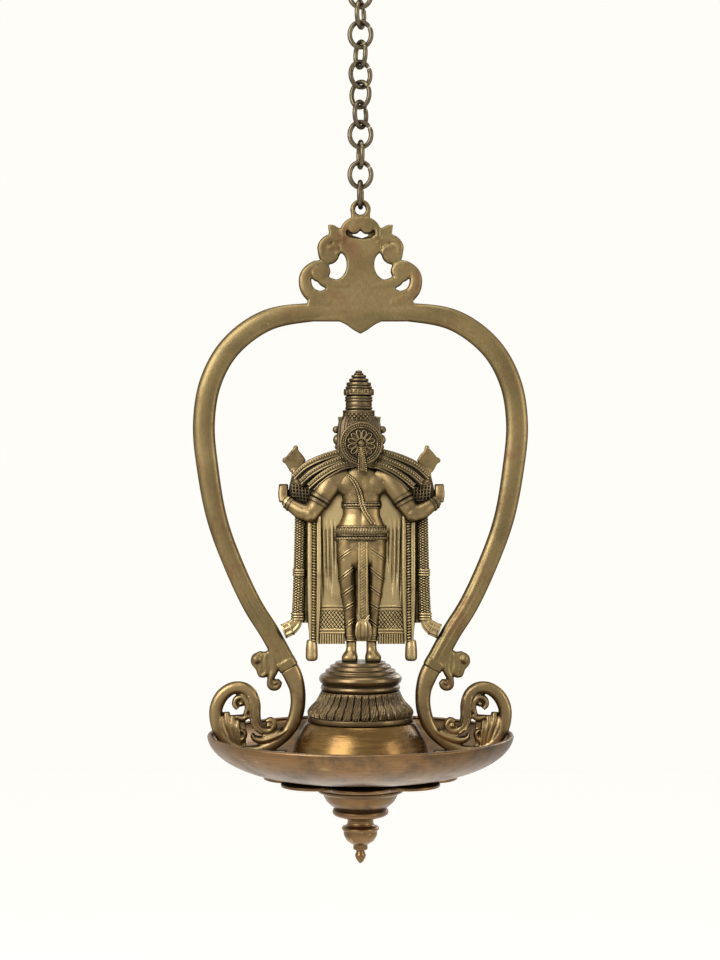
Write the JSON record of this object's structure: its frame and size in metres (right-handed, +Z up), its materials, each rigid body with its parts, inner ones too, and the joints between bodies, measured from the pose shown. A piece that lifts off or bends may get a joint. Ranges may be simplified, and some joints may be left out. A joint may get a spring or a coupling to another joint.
{
  "type": "hanging diya",
  "caption": "Hanging oil lamp in aged brass: a standing figure under a scrolled arch in a shallow oil dish with a turned finial, on a ring chain and hook.",
  "frame": {"origin": "where the hook's open bend bears on the bar or eye that it hangs from", "axes": "+Z up along the chain, +X along the width of the arch, +Y the way the figure faces, so -Y is the back that shows the wheel"},
  "size_m": [0.2162, 0.1986, 0.6279],
  "materials": {
    "aged_brass": "brushed cast brass with an olive brown patina",
    "dark_brass": "antiqued brass, nearly black in its recesses",
    "warm_brass": "turned brass with a warm copper brown patina",
    "steel": "plain steel, tarnished"
  },
  "bodies": {
    "hook": {"hanger_hook": "aged_brass"},
    "ring_01": {"chain_ring_01": "aged_brass"},
    "ring_02": {"chain_ring_02": "aged_brass"},
    "ring_03": {"chain_ring_03": "aged_brass"},
    "ring_04": {"chain_ring_04": "aged_brass"},
    "ring_05": {"chain_ring_05": "aged_brass"},
    "ring_06": {"chain_ring_06": "aged_brass"},
    "ring_07": {"chain_ring_07": "aged_brass"},
    "ring_08": {"chain_ring_08": "aged_brass"},
    "ring_09": {"chain_ring_09": "aged_brass"},
    "ring_10": {"chain_ring_10": "aged_brass"},
    "ring_11": {"chain_ring_11": "aged_brass"},
    "ring_12": {"chain_ring_12": "aged_brass"},
    "lamp": {"arch_bow": "aged_brass", "scroll_foot_right": "aged_brass", "scroll_foot_left": "aged_brass", "foot_screw_right": "steel", "foot_screw_left": "steel", "oil_dish": "warm_brass", "centre_dome": "warm_brass", "lotus_ring": "dark_brass", "figure_plinth": "dark_brass", "deity_figure": "dark_brass", "back_wheel": "aged_brass", "lotus_calyx": "dark_brass", "finial": "warm_brass", "centre_rod": "steel"}
  },
  "joints": [
    {"name": "ring_01_swing", "type": "hinge", "parent": "hook", "child": "ring_01", "pos_m": [0, 0, -0.0419], "axis": [1, 0, 0], "range_deg": [-45, 45]},
    {"name": "ring_02_swing", "type": "hinge", "parent": "ring_01", "child": "ring_02", "pos_m": [0, 0, -0.05415], "axis": [0, 1, 0], "range_deg": [-45, 45]},
    {"name": "ring_03_swing", "type": "hinge", "parent": "ring_02", "child": "ring_03", "pos_m": [0, 0, -0.06715], "axis": [-1, 0, 0], "range_deg": [-45, 45]},
    {"name": "ring_04_swing", "type": "hinge", "parent": "ring_03", "child": "ring_04", "pos_m": [0, 0, -0.08015], "axis": [-0.3256, -0.9455, 0], "range_deg": [-45, 45]},
    {"name": "ring_05_swing", "type": "hinge", "parent": "ring_04", "child": "ring_05", "pos_m": [0, 0, -0.09315], "axis": [1, 0, 0], "range_deg": [-45, 45]},
    {"name": "ring_06_swing", "type": "hinge", "parent": "ring_05", "child": "ring_06", "pos_m": [0, 0, -0.10615], "axis": [0.454, -0.891, 0], "range_deg": [-45, 45]},
    {"name": "ring_07_swing", "type": "hinge", "parent": "ring_06", "child": "ring_07", "pos_m": [0, 0, -0.11915], "axis": [-0.9063, -0.4226, 0], "range_deg": [-45, 45]},
    {"name": "ring_08_swing", "type": "hinge", "parent": "ring_07", "child": "ring_08", "pos_m": [0, 0, -0.13215], "axis": [-0.8192, 0.5736, 0], "range_deg": [-45, 45]},
    {"name": "ring_09_swing", "type": "hinge", "parent": "ring_08", "child": "ring_09", "pos_m": [0, 0, -0.14515], "axis": [0.5299, 0.848, 0], "range_deg": [-45, 45]},
    {"name": "ring_10_swing", "type": "hinge", "parent": "ring_09", "child": "ring_10", "pos_m": [0, 0, -0.15815], "axis": [1, 0, 0], "range_deg": [-45, 45]},
    {"name": "ring_11_swing", "type": "hinge", "parent": "ring_10", "child": "ring_11", "pos_m": [0, 0, -0.17115], "axis": [-0.1736, 0.9848, 0], "range_deg": [-45, 45]},
    {"name": "ring_12_swing", "type": "hinge", "parent": "ring_11", "child": "ring_12", "pos_m": [0, 0, -0.18415], "axis": [-1, 0, 0], "range_deg": [-45, 45]},
    {"name": "lamp_swing", "type": "hinge", "parent": "ring_12", "child": "lamp", "pos_m": [0, 0, -0.19715], "axis": [0.1045, 0.9945, 0], "range_deg": [-45, 45]}
  ]
}
